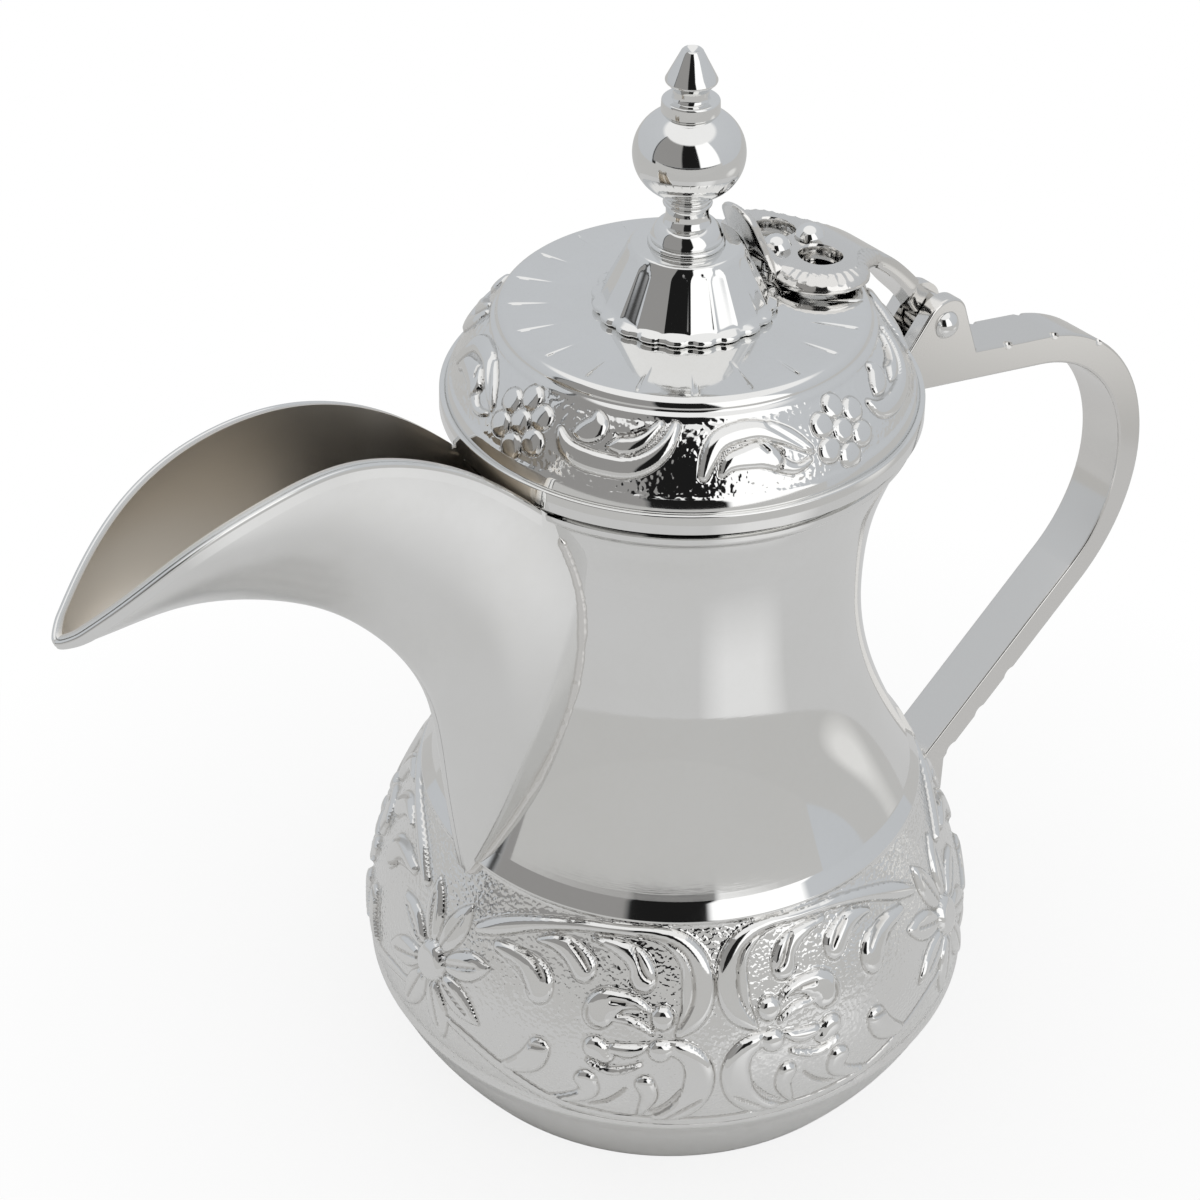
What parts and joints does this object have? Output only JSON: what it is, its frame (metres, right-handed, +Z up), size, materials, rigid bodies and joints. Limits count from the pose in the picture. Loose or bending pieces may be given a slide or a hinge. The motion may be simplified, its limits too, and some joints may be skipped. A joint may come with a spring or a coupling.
{
  "type": "dallah coffee pot",
  "caption": "Arabic coffee pot with a waisted embossed body, open beak spout, strap handle and a hinged domed lid under a turned finial",
  "frame": {"origin": "middle of the flat foot the pot stands on", "axes": "+Z up, spout towards -X, handle and hinge towards +X, hinge pin along Y"},
  "size_m": [0.2964, 0.144, 0.25],
  "materials": {
    "bright_plate": "polished bright nickel plate",
    "cast_plate": "plated casting, polished a little softer",
    "inner_fixings": "plain turned brass"
  },
  "bodies": {
    "pot": {"body_shell": "bright_plate", "base_plate": "bright_plate", "rim_collar": "bright_plate", "spout_left_half": "bright_plate", "spout_right_half": "bright_plate", "spout_left_rim": "bright_plate", "spout_right_rim": "bright_plate", "handle": "cast_plate", "hinge_pin": "bright_plate"},
    "lid": {"lid_dome": "bright_plate", "lid_cone": "bright_plate", "lid_flange_ring": "bright_plate", "lid_skirt": "bright_plate", "hinge_strap": "cast_plate", "strap_rivets": "bright_plate", "strap_burrs": "inner_fixings", "finial_washer": "bright_plate", "finial": "bright_plate", "finial_stud": "inner_fixings", "finial_backing_washer": "inner_fixings", "finial_nut": "inner_fixings"}
  },
  "joints": [
    {"name": "lid_hinge", "type": "hinge", "parent": "pot", "child": "lid", "pos_m": [0.0725, 0, 0.1655], "axis": [0, 1, 0], "range_deg": [0, 147]}
  ]
}
